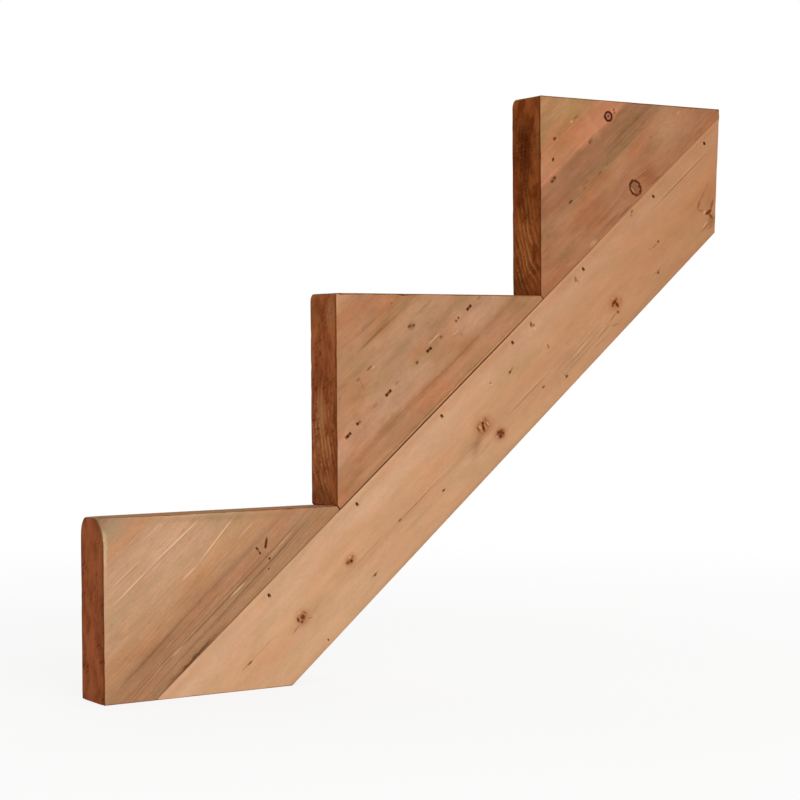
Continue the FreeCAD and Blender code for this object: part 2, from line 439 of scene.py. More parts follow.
    def ring_arcs(self) -> Socket:
        """Growth rings about the pith, as the sawn cuts show them.

        Returns:
            0 in early wood, 1 in the line of late wood.
        """
        add, finish = self.add, self.finish
        swell = self.grain_noise((170.0, 26.0, 40.0), seed=2.0, output=1)
        bent = self.shifted(self.point, swell, (0.0, 5.0, 9.0))
        centred = add("VectorMath", {0: bent, 1: finish.pith}, operation="SUBTRACT")
        flat = add("VectorMath", {0: centred, 1: (0.0, 1.0, 1.0)}, operation="MULTIPLY")
        radius = add("VectorMath", {0: flat}, output=1, operation="LENGTH")
        turns = add("Math", {0: radius, 1: 1.0 / finish.ring_width}, operation="MULTIPLY")
        saw = add("Math", {0: turns}, operation="FRACT")
        profile = add("ValToRGB", {0: saw})
        return set_stops(profile, [(place, (value, value, value, 1.0)) for place, value in (
            (0.0, 0.3), (0.15, 0.0), (0.5, 0.2), (0.85, 1.0), (1.0, 0.3),
        )])

    def laid_over(self, colour: Socket, coats: Iterable[tuple[Socket, str]], blend: str = "MIX") -> Socket:
        """Lay coats of colour over each other.

        Args:
            colour: The lowest coat.
            coats: Share and colour of each further coat, in order.
            blend: How a coat meets the one below.

        Returns:
            The colour that shows.
        """
        for share, code in coats:
            colour = self.add("Mix", {
                0: share, 6: colour, 7: hex_to_linear(code),
            }, output=2, data_type="RGBA", blend_type=blend)
        return colour

    def spot_share(self, spot: Spot) -> Socket:
        """How much of a spot shows: soft at its edge, and patchy within where it is torn.

        Args:
            spot: The spot.

        Returns:
            Share from 0 to the spot's strength.
        """
        local = self.local_to(spot, spot.depth)
        if spot.outline is Outline.BLOCK:
            return self.fade(self.block_reach(local), 1.0, 1.0 - spot.softness, spot.strength)
        # The ball gradient is 1 in the middle and 0 on the edge, and takes little of the renderer's memory.
        rise = self.add("TexGradient", {"Vector": local}, output=1, gradient_type="SPHERICAL")
        share = self.fade(rise, 0.0, spot.softness, spot.strength)
        if spot.outline is Outline.SMOOTH:
            return share
        return self.add("Math", {0: share, 1: self.patchy}, operation="MULTIPLY")

    def gathered(self, base: float, spots: tuple[Spot, ...]) -> Socket | float:
        """A strength that is the base everywhere and rises in the spots.

        Args:
            base: Strength away from the spots.
            spots: Where it rises, and by how much.

        Returns:
            The strength.
        """
        total: Socket | float = base
        for spot in spots:
            total = self.add("Math", {0: self.spot_share(spot), 1: total}, operation="ADD")
        return total

    def bands_and_far_shade(self) -> Socket:
        """Soft bands of tone across the board, and painted shade that makes it darker and redder towards its
        far end, as if the light fell off.

        Returns:
            Their colour.
        """
        add, finish = self.add, self.finish
        swell = self.grain_noise((150.0, 70.0, 18.0), detail=4.0, seed=4.0, roughness=0.6)
        warped = add("Math", {
            0: swell, 1: 4.0 * finish.band_warp, 2: self.across,
        }, operation="MULTIPLY_ADD")
        sloped = add("Math", {0: self.along, 1: -finish.slope, 2: warped}, operation="MULTIPLY_ADD")
        low, high = self.BAND_SPAN
        place = add("MapRange", {
            0: sloped, 1: low + 2.0 * finish.band_warp, 2: high + 2.0 * finish.band_warp, 3: 0.0, 4: 1.0,
        })
        stops = [((across - low) / (high - low), hex_to_linear(code)) for across, code in finish.bands]
        colour = set_stops(add("ValToRGB", {0: place}), stops)
        # Painted shade: the light's fall-off towards the far end, painted into the colour.
        far = add("MapRange", {0: self.along, 1: finish.far_span[0], 2: finish.far_span[1], 3: 0.0, 4: 1.0})
        return self.laid_over(colour, [(far, finish.far_shade)], "MULTIPLY")

    def grain_lines(self) -> Socket:
        """Mask of the dark lines along the grain, stronger in the places that the finish names.

        Returns:
            The mask.
        """
        layers = self.grain_noise((240.0, 50.0, 1.9), detail=3.0, seed=5.0, roughness=0.6)
        lines = self.fade(layers, 0.46, 0.68)
        contrast = self.gathered(self.finish.line_contrast, self.finish.line_spots)
        return self.add("Math", {0: lines, 1: contrast}, operation="MULTIPLY")

    def face_colour(self) -> Socket:
        """Colour of the planed faces before any marks: bands, grain lines, fibres, blotches and flecks.

        Returns:
            The colour.
        """
        add, finish = self.add, self.finish
        colour = self.laid_over(self.bands_and_far_shade(), [(self.grain_lines(), self.LINE_TINT)], "MULTIPLY")
        # Fibres are about 0.05 mm wide, so they are drawn about 1 mm wide to show at all.
        for lengths, amount, seed in (
            ((70.0, 8.0, 1.6), 0.22 * finish.fibre, 6.0),
            ((16.0, 4.0, 1.0), 0.26 * finish.fibre, 7.0),
            ((2.8, 2.6, 1.5), 0.14 + 0.12 * finish.fibre, 8.0),
            ((34.0, 24.0, 13.0), 0.42 * finish.blotch, 9.0),
            ((110.0, 50.0, 26.0), 0.26 * finish.blotch, 20.0),
            ((11.0, 8.0, 4.0), 0.26 * finish.blotch, 21.0),
        ):
            swell = self.grain_noise(lengths, detail=3.0, seed=seed, roughness=0.6)
            level = add("Math", {0: swell, 1: amount, 2: 1.0 - amount / 2}, operation="MULTIPLY_ADD")
            colour = add("VectorMath", {0: colour, 3: level}, operation="SCALE")
        for blend, lengths, code, span, amount, seed in (
            ("MULTIPLY", (60.0, 30.0, 20.0), "#FFF1EA", (0.44, 0.68), finish.blotch, 10.0),
            ("MULTIPLY", (48.0, 30.0, 16.0), "#EEF3E8", (0.46, 0.70), finish.blotch, 11.0),
            ("MIX", (9.0, 3.0, 1.1), "#7E5435", (0.58, 0.76), 0.5 * finish.flecks, 12.0),
            ("MIX", (10.0, 3.0, 1.0), "#D8B690", (0.58, 0.78), 0.3 * finish.flecks, 13.0),
        ):
            swell = self.grain_noise(lengths, detail=3.0, seed=seed)
            colour = self.laid_over(colour, [(self.fade(swell, span[0], span[1], amount), code)], blend)
        return colour

    def sawn_colour(self) -> Socket:
        """Colour of the sawn cuts: thirsty end wood with blots, pale rings, slanting tears, dark borders.

        Returns:
            The colour.
        """
        add, finish = self.add, self.finish
        blotch = self.grain_noise((22.0, 13.0, 22.0), detail=4.0, seed=14.0, roughness=0.65)
        colour = add("Mix", {
            0: self.fade(blotch, 0.34, 0.66), 6: hex_to_linear(finish.sawn_light),
            7: hex_to_linear(finish.sawn_dark),
        }, output=2, data_type="RGBA")
        colour = self.laid_over(colour, self.marks_on(Surface.SAWN))
        patch = self.fade(self.grain_noise((12.0, 8.0, 12.0), detail=3.0, seed=15.0), 0.34, 0.56)
        strength = self.gathered(finish.sawn_rings, finish.ring_spots)
        strokes = add("Math", {0: self.ring_arcs(), 1: patch}, operation="MULTIPLY")
        strokes = add("Math", {0: strokes, 1: strength}, operation="MULTIPLY")
        slanted = add("Mapping", {
            "Vector": self.place, "Rotation": (self.TEAR_SLANT, 0.0, 0.0), "Scale": self.TEAR_SIZE,
        }, vector_type="TEXTURE")
        torn = add("TexNoise", {"Vector": slanted, "Scale": 1.0, "Detail": 2.0})
        tears = add("Math", {
            0: self.fade(torn, 0.58, 0.68, 0.65), 1: self.fade(blotch, 0.44, 0.56),
        }, operation="MULTIPLY")
        edge = add("Math", {0: self.through}, operation="ABSOLUTE")
        upward = add("SeparateXYZ", {0: self.normal}, output=2)
        tread = self.fade(upward, *self.TREAD_SPAN, 0.85)
        layers = self.grain_noise((150.0, 2.2, 150.0), detail=3.0, seed=22.0, roughness=0.6)
        dark_layers = add("Math", {0: self.fade(layers, 0.42, 0.66, 0.6), 1: tread}, operation="MULTIPLY")
        coats = [
            (strokes, finish.sawn_stroke), (tears, self.TEAR_COLOUR),
            (self.fade(edge, *self.BORDER_SPAN, 0.6), self.BORDER_COLOUR), (tread, finish.tread),
            (dark_layers, self.LAYER_COLOUR),
        ]
        return self.laid_over(colour, coats)

    def seam_line(self) -> Socket:
        """Mask of the dark line along the seam, whose strength changes along it: a dark joint, and painted
        shade in the gap where the seam stands open.

        Returns:
            The mask.
        """
        add, finish = self.add, self.finish
        # A dark joint everywhere, made stronger as painted shade where the seam stands open.
        near = add("Math", {0: self.across}, operation="ABSOLUTE")
        line = self.fade(near, self.SEAM_HALF, 0.1)
        low, high = self.SEAM_SPAN
        place = add("MapRange", {0: self.along, 1: low, 2: high, 3: 0.0, 4: 1.0})
        stops = [((along - low) / (high - low), (s, s, s, 1.0)) for along, s in finish.seam_shade]
        shade = set_stops(add("ValToRGB", {0: place}), stops)
        return add("Math", {0: line, 1: shade}, operation="MULTIPLY")

    def knot_coats(self, knot: Knot) -> list[tuple[Socket, str]]:
        """The coats that draw one knot: red halo, torn body, bark ring and dark heart.

        Args:
            knot: The knot.

        Returns:
            Share and colour of each coat, lowest first.
        """
        add = self.add
        plain = self.reach_of(knot)
        cracks = self.grain_noise((2.6, 2.6, 2.6), detail=2.0, seed=16.0 + knot.along, point=self.point)
        lift = add("Math", {0: cracks, 1: 0.5}, operation="SUBTRACT")
        torn = add("Math", {0: lift, 1: 2.0 * knot.ragged, 2: plain}, operation="MULTIPLY_ADD")
        off = add("Math", {0: torn, 1: 1.0}, operation="SUBTRACT")
        near = add("Math", {0: off}, operation="ABSOLUTE")
        return [
            (self.fade(plain, 2.6, 0.7, knot.halo), self.HALO_COLOUR),
            (self.fade(torn, 1.2, 0.4, knot.opacity), knot.body),
            (self.fade(near, knot.ring_width, 0.3 * knot.ring_width, knot.ring_strength), knot.ring),
            (self.fade(torn, 0.7, 0.1, knot.heart), self.HEART_COLOUR),
        ]

    def marks_on(self, surface: Surface) -> Iterator[tuple[Socket, str]]:
        """Give the share and the colour of each spot on a surface.

        Args:
            surface: Which surface.

        Yields:
            Share and colour of each spot, lowest first.
        """
        # Each share is made just before the coat that uses it, so the renderer holds few values at a time.
        for spot in self.finish.spots:
            if spot.surface is surface:
                yield self.spot_share(spot), spot.colour

    def face_marks(self) -> Iterator[tuple[Socket, str]]:
        """Give the coats over a planed face in order: knots, spots and the dark seam line, which is partly
        painted shade in the open seam.

        Yields:
            Share and colour of each coat, lowest first.
        """
        for knot in self.finish.knots:
            yield from self.knot_coats(knot)
        yield from self.marks_on(Surface.PLANED)
        yield self.seam_line(), self.SEAM_COLOUR

    def sawn_mask(self) -> Socket:
        """One on the cuts across the grain, none on the faces and edges along it.

        Returns:
            The mask.
        """
        facing = self.add("VectorMath", {0: self.normal, 1: SEAM.grain}, output=1, operation="DOT_PRODUCT")
        end_on = self.add("Math", {0: facing}, operation="ABSOLUTE")
        return self.fade(end_on, *self.SAWN_SPAN)

    def build(self) -> bpy.types.Material:
        """Join all the layers into one surface.

        Returns:
            The finished material.
        """
        add, finish = self.add, self.finish
        sawn = self.sawn_mask()
        face = self.laid_over(self.face_colour(), self.face_marks())
        colour = add("Mix", {0: sawn, 6: face, 7: self.sawn_colour()}, output=2, data_type="RGBA")
        # The worn bevels are darkened: stain, and painted shade along the edges.
        arris = add("Attribute", {}, output=2, attribute_name=ARRIS)
        colour = self.laid_over(colour, [(arris, self.ARRIS_STAIN_AND_SHADE)], "MULTIPLY")
        fibre = self.grain_noise((26.0, 3.0, 1.0), detail=3.0, seed=17.0)
        kerf = self.grain_noise((1.8, 2.6, 1.8), detail=3.0, seed=18.0)
        planed = add("Math", {0: fibre, 1: 0.1}, operation="MULTIPLY")
        rough_cut = add("Math", {0: kerf, 1: 0.6}, operation="MULTIPLY")
        height = add("Mix", {0: sawn, 2: planed, 3: rough_cut}, data_type="FLOAT")
        bump = add("Bump", {"Strength": 0.8, "Distance": MM, "Height": height})
        sheen = add("MapRange", {
            0: fibre, 1: 0.3, 2: 0.7,
            3: finish.roughness - self.SHEEN_SWING, 4: finish.roughness + self.SHEEN_SWING,
        })
        rough = add("Mix", {0: sawn, 2: sheen, 3: self.CUT_ROUGHNESS}, data_type="FLOAT")
        surface = add("BsdfPrincipled", {
            "Base Color": colour, "Roughness": rough, "Normal": bump, "IOR": 1.5, "Specular IOR Level": 0.03,
        })
        add("OutputMaterial", {"Surface": surface})
        return self.material


@dataclass(frozen=True)
class SteelMaterial:
    """Dull drawn wire of the nails: grey steel under a brown film from the wood, so its glint is soft."""

    name: str = "dull_drawn_nail_wire"
    steel: str = "#4E4842"
    film: str = "#33231A"
    film_span: tuple[float, float] = (0.4, 0.65)
    rough_span: tuple[float, float] = (0.4, 0.7)
    metallic: float = 0.9
    spot_size: float = 1.5

    def build(self) -> bpy.types.Material:
        """Build the wire's nodes.

        Returns:
            The finished material.
        """
        material = new_material(self.name)
        add = partial(add_node, material.node_tree)
        place = add("TexCoord", {}, output=3)
        spots = add("TexNoise", {"Vector": place, "Scale": 1.0 / (self.spot_size * MM), "Detail": 3.0})
        share = add("MapRange", {0: spots, 1: self.film_span[0], 2: self.film_span[1]})
        colour = add("Mix", {
            0: share, 6: hex_to_linear(self.steel), 7: hex_to_linear(self.film),
        }, output=2, data_type="RGBA")
        rough = add("MapRange", {0: spots, 1: 0.3, 2: 0.7, 3: self.rough_span[0], 4: self.rough_span[1]})
        surface = add("BsdfPrincipled", {"Base Color": colour, "Metallic": self.metallic, "Roughness": rough})
        add("OutputMaterial", {"Surface": surface})
        return material


@dataclass
class Board:
    """One wooden piece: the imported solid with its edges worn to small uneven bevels, in millimetres."""

    node: str
    slot: str
    finish: Softwood
    arris: float = 0.6
    wear: float = 0.55
    step: float = 6.0
    sharp: float = 35.0
    tread_wear: float = 1.0
    tread_drop: float = 0.0
    tip_round: float = 0.0
    near_tip_round: float = 0.0
    piece: bpy.types.Object | None = field(default=None, init=False)

    # Mesh work: weld distance, angles that count as flat or smooth, slack of a place, and edges looked at.
    WELD = 0.001
    FLAT_ANGLE = math.radians(1.0)
    SMOOTH_ANGLE = math.radians(20.0)
    SLACK = 0.05
    NEIGHBOURS = 8
    # Wear: lengths of the swells and chips along an edge, and what is left of a bevel at the seam.
    SWELL_LENGTH = 14.0
    CHIP_LENGTH = 5.0
    CHIP_START = 0.35
    CHIP_GAIN = 4.0
    CHIP_SHIFT = Vector((9.0, 4.0, 2.0))
    LEAST_REACH = 0.3
    SEAM_BAND = 0.6
    OPEN_SHARE = 0.4
    SHUT_SHARE = 0.04
    TREAD_BAND = 0.1
    # Nail holes: their band across the plank, the longest edge of a rim, and how deep the inside begins.
    HOLE_BAND = (-14.0, -3.0)
    RIM_EDGE = 3.0
    INSIDE_TOP = 40.0
    SKIN = 0.2

    def build(self) -> None:
        """Copy the solid's mesh, bevel its edges and wear the bevels unevenly."""
        mesh = bpy.data.meshes.new(f"{self.node}_worn")
        body = bmesh.new()
        body.from_mesh(frame["nodes"][self.node].data)
        bmesh.ops.remove_doubles(body, verts=body.verts, dist=self.WELD * MM)
        bmesh.ops.dissolve_limit(body, angle_limit=self.FLAT_ANGLE, verts=body.verts, edges=body.edges)
        self.wear_tip(body)
        self.wear_edges(body)
        for edge in body.edges:
            edge.smooth = len(edge.link_faces) == 2 and edge.calc_face_angle(0.0) < self.SMOOTH_ANGLE
        for face in body.faces:
            face.smooth = True
        body.to_mesh(mesh)
        body.free()
        self.piece = bpy.data.objects.new(f"{self.node}_wood", mesh)
        bpy.context.scene.collection.objects.link(self.piece)
        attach(self.piece, ROOT)
        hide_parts(self.node)
        LOG.info("%s: %d faces", self.piece.name, len(mesh.polygons))

    def wear_tip(self, body: bmesh.types.BMesh) -> None:
        """Round the near side of the tip further along both cuts, and let the tread fall to the far side.

        Args:
            body: The mesh to change.
        """
        low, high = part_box(self.node)
        top = max(SEAM.to_board(vertex.co).z for vertex in body.verts)
        for vertex in body.verts:
            place = SEAM.to_board(vertex.co)
            inward, below = place.y - SEAM.near, top - place.z
            on_tread = abs(vertex.co.z - high.z) < self.SLACK * MM
            if self.tip_round > 0.0 and max(inward, below) < self.tip_round + self.SLACK:
                more = (self.near_tip_round / self.tip_round - 1.0) * MM
                vertex.co.y += inward * more
                if on_tread:
                    vertex.co.x += below * more / math.sin(SEAM.pitch)
                else:
                    vertex.co.z -= below * more / math.cos(SEAM.pitch)
            if on_tread:
                vertex.co.z -= self.tread_drop * MM * (vertex.co.y - low.y) / (high.y - low.y)

    def wear_edges(self, body: bmesh.types.BMesh) -> None:
        """Bevel the outer edges, then let the bevel's width wander along each edge.

        Args:
            body: The mesh to change.
        """
        marks = body.faces.layers.float.new(ARRIS)
        edges = [edge for edge in body.edges if self.is_arris(edge)]
        for edge in list(edges):
            cuts = int(edge.calc_length() / (self.step * MM))
            if cuts > 0:
                made = bmesh.ops.subdivide_edges(body, edges=[edge], cuts=cuts)
                edges += [item for item in made["geom_split"] if isinstance(item, bmesh.types.BMEdge)]
        edges = [edge for edge in dict.fromkeys(edges) if edge.is_valid and self.is_arris(edge)]
        lines = [(edge.verts[0].co.copy(), edge.verts[1].co.copy()) for edge in edges]
        middles = kdtree.KDTree(len(lines))
        for index, (start, end) in enumerate(lines):
            middles.insert((start + end) / 2, index)
        middles.balance()
        made = bmesh.ops.bevel(body, geom=edges, offset=self.arris * MM, segments=1, affect="EDGES")
        for face in made["faces"]:
            face[marks] = 1.0
        for vertex in {vertex for face in made["faces"] for vertex in face.verts}:
            near = [lines[index] for _, index, _ in middles.find_n(vertex.co, self.NEIGHBOURS)]
            vertex.co = self.worn(vertex.co, near)

    def is_arris(self, edge: bmesh.types.BMEdge) -> bool:
        """Tell whether an edge is a sharp outer edge and not the rim of a nail hole.

        Args:
            edge: An edge of the board's mesh.

        Returns:
            True for an edge that wears.
        """
        if len(edge.link_faces) != 2 or edge.calc_face_angle(0.0) < math.radians(self.sharp):
            return False
        half = -SEAM.near - self.SKIN
        low, high = self.HOLE_BAND
        ends = [SEAM.to_board(vertex.co) for vertex in edge.verts]
        inside = all(abs(end.y) < half and end.z < self.INSIDE_TOP for end in ends)
        hole_rim = all(low < end.z < high and end.y < 0.0 for end in ends)
        return not inside and not (hole_rim and edge.calc_length() < self.RIM_EDGE * MM)

    def worn(self, point: Vector, lines: list[tuple[Vector, Vector]]) -> Vector:
        """Move a bevel's corner nearer to or further from the edge that it came from.

        Args:
            point: The corner.
            lines: Ends of the sharp edges about it before the bevel.

        Returns:
            The moved corner, inside the solid's box.
        """
        feet = []
        for start, end in lines:
            span = end - start
            share = max(0.0, min(1.0, (point - start).dot(span) / span.length_squared))
            feet.append(start + span * share)
        foot = min(feet, key=lambda item: (point - item).length)
        swell = noise.noise(foot / (self.SWELL_LENGTH * MM))
        chip = max(0.0, noise.noise(foot / (self.CHIP_LENGTH * MM) + self.CHIP_SHIFT) - self.CHIP_START)
        reach = max(self.LEAST_REACH, 1.0 + self.wear * swell + self.CHIP_GAIN * self.wear * chip)
        place = SEAM.to_board(foot)
        if abs(place.z) < self.SEAM_BAND:
            reach *= self.OPEN_SHARE if OPEN_SEAM[0] < place.x < OPEN_SEAM[1] else self.SHUT_SHARE
        low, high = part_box(self.node)
        if foot.y < 0.0 and foot.z > high.z - self.TREAD_BAND * MM:
            reach *= self.tread_wear
        moved = foot + (point - foot) * reach
        return Vector([min(max(m, a), b) for m, a, b in zip(moved, low, high)])

    def dress(self) -> None:
        """Give the piece its wood."""
        self.piece.data.materials.append(SoftwoodMaterial(self.finish).build())
        LOG.info("%s dressed in %s", self.piece.name, self.finish.name)


@dataclass
class ToeNails:
    """The slanted nails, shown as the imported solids."""

    node: str = "toe_nails"

    def dress(self) -> None:
        """Give the nails their wire."""
        mesh = frame["nodes"][self.node].data
        mesh.materials.clear()
        mesh.materials.append(SteelMaterial().build())
        LOG.info("%s dressed in %s", self.node, SteelMaterial.name)


# The boards grow darker from the lower block to the upper one: partly the wood's own tone, partly painted
# fall-off of the light.
PLANK_WOOD = Softwood(
    name="planed_plank_softwood",
    bands=((-86, "#C29670"), (-80, "#CEA27C"), (-60, "#CFA37E"), (-50, "#CB9C77"), (-40, "#D0A17A"),
           (-12, "#D3A987"), (-5, "#CDA17C"), (0, "#D6AA87")),
    # Painted shade: the seam line is strongest where the seam stands open, for the shade in the gap.
    seam_shade=((-40, 0.2), (12, 0.4), (100, 0.45), (234, 0.45), (238, 0.85), (330, 1.0), (470, 0.95),
                (490, 0.65), (534, 0.55), (606, 0.5), (618, 0.1), (715, 0.1), (730, 0.2), (830, 0.25)),
    pith=(400.0, 42.0, -62.0), line_contrast=0.04, fibre=0.35, blotch=0.5, flecks=0.1,
    line_spots=(Spot(540, -66, 50, 12, WHITE, 0.5), Spot(384, -57, 22, 10, WHITE, 0.35),
                Spot(230, -51, 150, 4, WHITE, 0.3), Spot(480, -56, 60, 4, WHITE, 0.35)),
    # Painted shade: the plank grows darker and redder towards its upper end, standing in for the light falling
    # off.
    far_shade="#DDCABC", far_span=(120.0, 760.0), band_warp=4.0, seed=1.0,
    knots=(
        Knot(147, -46, 4.4, 4.2, "#96623C", "#6A3C20", opacity=0.6, ring_strength=0.2, ragged=0.8),
        Knot(215, -41.8, 4.2, 3.2, "#96663E", "#5E3820", opacity=0.6, ring_strength=0.0),
        Knot(400, -46, 6.4, 5.4, "#B07A54", "#7A4828", opacity=0.6, ring_strength=0.4),
        Knot(410.4, -63.8, 4.8, 4.2, "#6E3414", "#5A3019", opacity=0.9, ring_strength=0.3, ragged=0.5,
             heart=0.3),
        Knot(594, -58, 4.8, 4.6, "#96603C", "#5E361D", opacity=0.5, ring_strength=0.0, ragged=0.9),
    ),
    spots=(
        # Broad stains about the knots and at the upper end.
        Spot(147, -46, 15, 9, "#BE8A65", 0.4, 0, 1), Spot(384, -54, 19, 7, "#966C48", 0.75, 26, 1),
        Spot(594, -58, 18, 8, "#B0714C", 0.5, 0, 1), Spot(751, -56, 17, 10, "#A06E46", 0.7, 20, 1),
        Spot(742, -73, 13, 9, "#855433", 0.7, 0, 1), Spot(716, -76, 8, 5, "#A88C58", 0.5, 0, 1),
        # Painted shade in the nail holes over the sunk nail heads.
        *(stroke(along, -8.5, 1.4, 2.2, "#46200A", 0.95) for along in NAIL_PLACES),
        # First knot: broken heart, bark and torn fibres, and a pale painted highlight above the heart.
        stroke(147.4, -46, 3.3, 3.5, "#6A3410", 0.95), stroke(142.4, -44.6, 1.9, 3.4, "#744020", 1, -15),
        stroke(144, -48.6, 2.3, 1.9, "#744020", 0.95), stroke(151.4, -44.2, 1.3, 3, "#8A5833", 0.85, 25),
        stroke(146.8, -40.6, 1.8, 1.3, "#DDB993", 0.45), stroke(136, -49.4, 7, 0.8, "#8A5A38", 0.7, 7),
        stroke(152.5, -52, 3.6, 0.8, "#8A5A38", 0.6, -40),
        # Second knot, with a pale painted highlight above its heart.
        stroke(215.4, -42.7, 2.3, 2.4, "#5E2C06", 1), stroke(211.8, -41.4, 3.2, 2.6, "#7A4E28", 0.95, -20),
        stroke(218.8, -40.6, 1.9, 2, "#90623A", 0.8), stroke(216.3, -39.2, 1.1, 1.5, "#E0BE98", 0.55),
        # Third knot, split across, with pale painted highlights about its dark pieces.
        stroke(394, -44.2, 1.1, 4, "#6A3A1C", 0.95, 6), stroke(399.2, -47.2, 5.2, 2.1, "#5E2608", 1, 70),
        stroke(401.2, -43.4, 2.4, 2.3, "#602808", 1), stroke(403.6, -47, 1.2, 4.2, "#8A5030", 0.85),
        stroke(406.3, -42.2, 2, 2.7, "#96603E", 0.85), stroke(405.6, -47.4, 0.8, 3.6, "#DDB28C", 0.5),
        stroke(396.6, -44, 0.8, 3, "#DDB08A", 0.6), stroke(402, -40.2, 1.4, 1.2, "#E2C09C", 0.45),
        stroke(395, -51, 0.9, 3.4, "#A06C48", 0.6, 10),
        # The small dark knot beside it, with a pale painted highlight at its side.
        stroke(408.8, -66.2, 2.6, 1.8, "#5A2608", 0.95),
        stroke(409.8, -61.6, 2.6, 1.5, "#602A0A", 0.85, -15), stroke(412.8, -65.5, 2, 1.8, "#602A0A", 0.8),
        stroke(417, -66.3, 1, 2, "#B07850", 0.7), stroke(405.4, -63.4, 0.8, 2.2, "#DDB08A", 0.6),
        # Fourth knot, the fibres that lead to it, and a pale painted highlight above the knot.
        stroke(593.4, -56.2, 5.2, 2.3, "#6A2C0C", 1, 3), stroke(594.5, -60.2, 2.3, 4.4, "#682A0A", 1),
        stroke(589.8, -57.6, 2.2, 1.8, "#763E1E", 0.95), stroke(597.8, -55.4, 1.4, 2, "#7E4626", 0.7),
        stroke(594.3, -52.2, 1.3, 1.3, "#D8A67F", 0.5), stroke(601.7, -60.2, 0.9, 3.6, "#9A5E3C", 0.7, -25),
        stroke(590.8, -66.4, 2.4, 3, "#824A28", 0.85, 70), stroke(583, -66.2, 8, 0.9, "#8A5A38", 0.75, 7),
        stroke(580, -73.5, 6, 0.9, "#8A5A38", 0.6, -24), stroke(566, -69.5, 14, 0.8, "#8E6040", 0.6, 4),
        stroke(562, -66.8, 16, 0.7, "#D2A47C", 0.5, 4), stroke(556, -75, 18, 0.8, "#8E6040", 0.5, -5),
        # Nicks and pitch pockets; the pale dots beside two of them are painted highlights.
        stroke(84, -39.6, 4.2, 1.1, "#5E2E0C", 0.95), stroke(79, -39.2, 7, 0.7, "#9A6C46", 0.6),
        stroke(225.5, -69.2, 3, 1.5, "#5E2E0C", 0.95), stroke(225.5, -68.8, 7, 1, "#96683F", 0.6),
        stroke(276.5, -49.8, 3, 1.3, "#643410", 0.95), stroke(329, -61.2, 2.9, 1.4, "#643410", 0.95),
        stroke(153, -79.5, 1.3, 1.8, "#683816"), stroke(503, -9, 3.8, 2.2, "#74441E", 0.9, 60),
        stroke(505, -11.5, 2.2, 1.6, "#6E401C", 0.8, 20), stroke(504, -15.2, 1.4, 1.8, "#DDB690", 0.45),
        stroke(505, -37.5, 1.4, 3.6, "#86593A", 0.85, -20),
        stroke(455.6, -27.2, 3, 1.6, "#60300E", 0.95, 10), stroke(459, -26.4, 4, 0.9, "#8A5A36", 0.8, 5),
        stroke(432, -20.5, 1.2, 1.2, "#6E401C"), stroke(432, -22.5, 1.2, 0.9, "#E0BC98", 0.7),
        stroke(476, -63.2, 2.8, 1.3, "#6E401C", 0.9), stroke(503.5, -73.6, 3, 1.4, "#643410", 0.95),
        stroke(503, -71.8, 1.2, 1.8, "#8A5A36", 0.8), stroke(571, -9.6, 4, 1.8, "#84583A", 0.8, 50),
        stroke(572, -12, 1.4, 3, "#84583A", 0.6), stroke(674, -45.6, 2, 1.6, "#643410", 0.95),
        stroke(668, -46.2, 6, 0.9, "#8A5A38", 0.7), stroke(661, -45.2, 1, 2.2, "#8E603E", 0.6),
        stroke(654.5, -69, 2.6, 1.4, "#64340F", 0.95), stroke(656, -67.6, 6, 0.8, "#8A5A36", 0.7, 12),
        stroke(652, -67, 7, 0.7, "#94623F", 0.6), stroke(667, -2.8, 2.6, 1.6, "#7A4A2C", 0.85, 20),
        stroke(664, -5.4, 1.3, 2.4, "#8A5A38", 0.7),
        # Long lines of the grain.
        stroke(300, -50, 46, 0.8, "#A07049", 0.7), stroke(322, -48.6, 60, 0.7, "#DDB38C", 0.4, 0.5),
        stroke(350, -52.6, 42, 0.6, "#A87A54", 0.6, 1), stroke(470, -54.8, 34, 0.6, "#DAAE87", 0.4, -1),
        stroke(512, -60.4, 26, 0.7, "#A0704A", 0.6, 3), stroke(290, -62, 30, 0.6, "#AE8059", 0.5, -1),
        stroke(535, -64.2, 22, 0.7, "#D6A981", 0.5, 3), stroke(455, -56.8, 40, 0.9, "#966641", 0.65, -0.6),
        stroke(735, -17.2, 62, 0.9, "#8E603D", 0.75), stroke(738, -15.8, 50, 0.6, "#D2A884", 0.4),
        stroke(100, -39, 24, 0.6, "#A5744F", 0.5),
        # Rough patch at the upper end.
        stroke(738.5, -50, 6.5, 2, "#8A5831", 0.8, 30), stroke(748, -46.2, 9, 1.7, "#90603B", 0.7, 18),
        stroke(759, -42.2, 8, 1.4, "#98663F", 0.5, 22),
        stroke(736.6, -56.2, 5.4, 1.6, "#90603B", 0.75, -52),
        stroke(744.2, -63.8, 6.4, 2.6, "#683210", 1, -4), stroke(743.4, -68.4, 2.4, 5, "#7A4622", 0.95, 8),
        stroke(740.6, -63, 2, 1.6, "#66300E", 0.95), stroke(752, -60.6, 8, 2, "#7E4C28", 0.8, 28),
        stroke(739.4, -60.4, 3.2, 1, "#DDB28C", 0.6, 15), stroke(732, -70.4, 7, 0.9, "#DDB28C", 0.5, 10),
        stroke(730.5, -72.6, 8, 1.2, "#8E5C38", 0.75, 4), stroke(735, -76.5, 6, 1.2, "#96643F", 0.6, -10),
    ),
)

